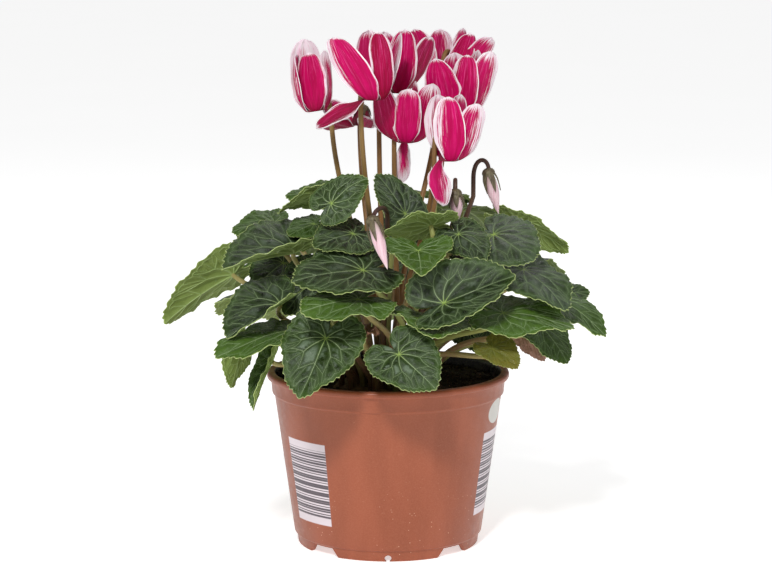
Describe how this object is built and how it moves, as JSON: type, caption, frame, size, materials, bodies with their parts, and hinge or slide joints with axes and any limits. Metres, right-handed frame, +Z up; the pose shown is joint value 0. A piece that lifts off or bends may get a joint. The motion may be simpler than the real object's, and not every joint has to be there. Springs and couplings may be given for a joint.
{
  "type": "potted cyclamen",
  "caption": "Flowering cyclamen with heart-shaped veined leaves and white-edged magenta flowers in a round plastic nursery pot.",
  "frame": {"origin": "on the surface that the pot stands on, on the pot's axis, below the middle of the plant", "axes": "+Z up along the pot's axis; the side shown to the viewer faces -Y, and +X is to the viewer's right"},
  "size_m": [0.2184, 0.1939, 0.2542],
  "materials": {
    "pot_plastic": "satin",
    "growing_medium": "matte",
    "tuber": "matte",
    "leaf": "satin",
    "petal": "satin",
    "flower_stalk": "satin",
    "bud": "satin"
  },
  "bodies": {
    "root": {"bud_front": "bud", "bud_middle": "bud", "bud_right": "bud", "bud_stalk_front": "flower_stalk", "bud_stalk_middle": "flower_stalk", "bud_stalk_right": "flower_stalk", "corolla_a": "petal", "corolla_b": "petal", "corolla_c": "petal", "corolla_d": "petal", "corolla_e": "petal", "corolla_f": "petal", "corolla_g": "petal", "corolla_h": "petal", "flower_stalk_a": "flower_stalk", "flower_stalk_b": "flower_stalk", "flower_stalk_c": "flower_stalk", "flower_stalk_d": "flower_stalk", "flower_stalk_e": "flower_stalk", "flower_stalk_f": "flower_stalk", "flower_stalk_g": "flower_stalk", "flower_stalk_h": "flower_stalk", "growing_medium": "growing_medium", "leaf_back_6": "leaf", "leaf_behind_bud": "leaf", "leaf_butterfly": "leaf", "leaf_curled": "leaf", "leaf_dead": "leaf", "leaf_drooping": "leaf", "leaf_far_left": "leaf", "leaf_front_left": "leaf", "leaf_front_low": "leaf", "leaf_left_folded": "leaf", "leaf_left_low": "leaf", "leaf_left_under": "leaf", "leaf_mid_left": "leaf", "leaf_mid_under": "leaf", "leaf_right_back": "leaf", "leaf_right_bright": "leaf", "leaf_right_large": "leaf", "leaf_right_mid": "leaf", "leaf_right_under": "leaf", "leaf_silver": "leaf", "leaf_top_left": "leaf", "leaf_top_middle": "leaf", "leaf_top_right": "leaf", "leaf_top_upright": "leaf", "leaf_yellow": "leaf", "leaves_back_1": "leaf", "leaves_back_2": "leaf", "leaves_back_3": "leaf", "leaves_back_4": "leaf", "leaves_back_5": "leaf", "leaves_far_right": "leaf", "leaves_inner_1": "leaf", "leaves_left_back": "leaf", "leaves_right_high": "leaf", "leaves_right_low": "leaf", "pot": "pot_plastic", "tuber": "tuber"}
  },
  "joints": []
}
